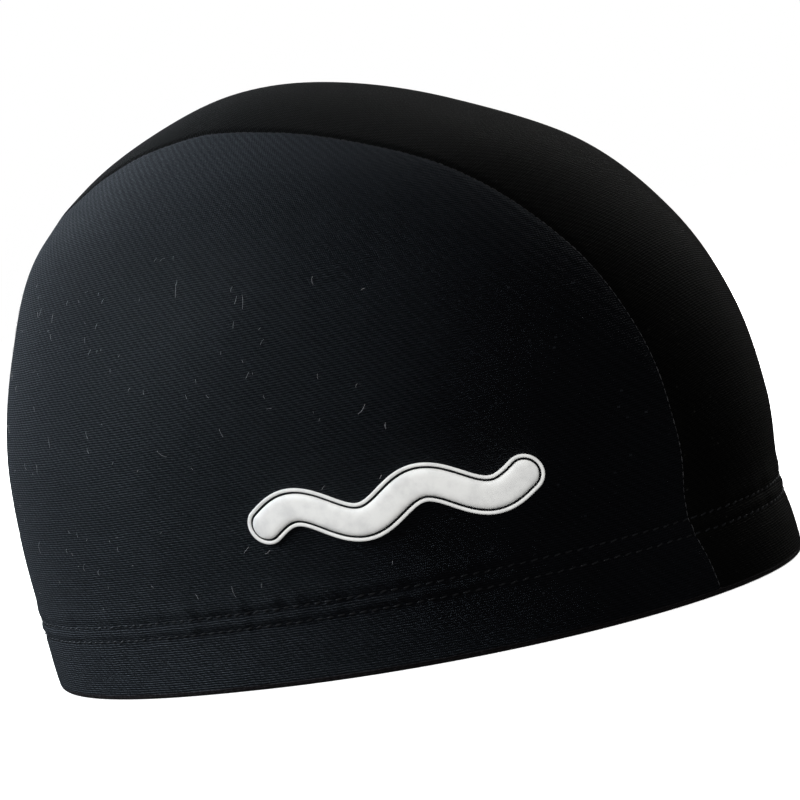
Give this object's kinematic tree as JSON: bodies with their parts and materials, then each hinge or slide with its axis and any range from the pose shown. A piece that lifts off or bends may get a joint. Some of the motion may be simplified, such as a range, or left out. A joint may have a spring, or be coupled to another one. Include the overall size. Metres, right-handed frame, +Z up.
{
  "type": "fabric swim cap",
  "caption": "Close-fitting stretch swim cap sewn from two side panels and a crown strip, with a turned-up hem and a raised wave print on one side.",
  "frame": {"origin": "bottom centre of the cap's box, on the surface that the rim stands on", "axes": "+X to the cap's front, +Y to the wearer's left, +Z up"},
  "size_m": [0.2001, 0.156, 0.139],
  "materials": {
    "side_knit": "black warp knit with a fine rib and a faint cool sheen",
    "crown_knit": "black warp knit, duller than the sides",
    "hem_knit": "black warp knit, doubled and held by two rows of stitches",
    "puff_ink": "white raised print with a soft gloss"
  },
  "bodies": {
    "root": {"right_side_panel": "side_knit", "left_side_panel": "side_knit", "crown_panel": "crown_knit", "turned_hem": "hem_knit", "wave_print": "puff_ink", "wave_print_outline": "puff_ink"}
  },
  "joints": []
}
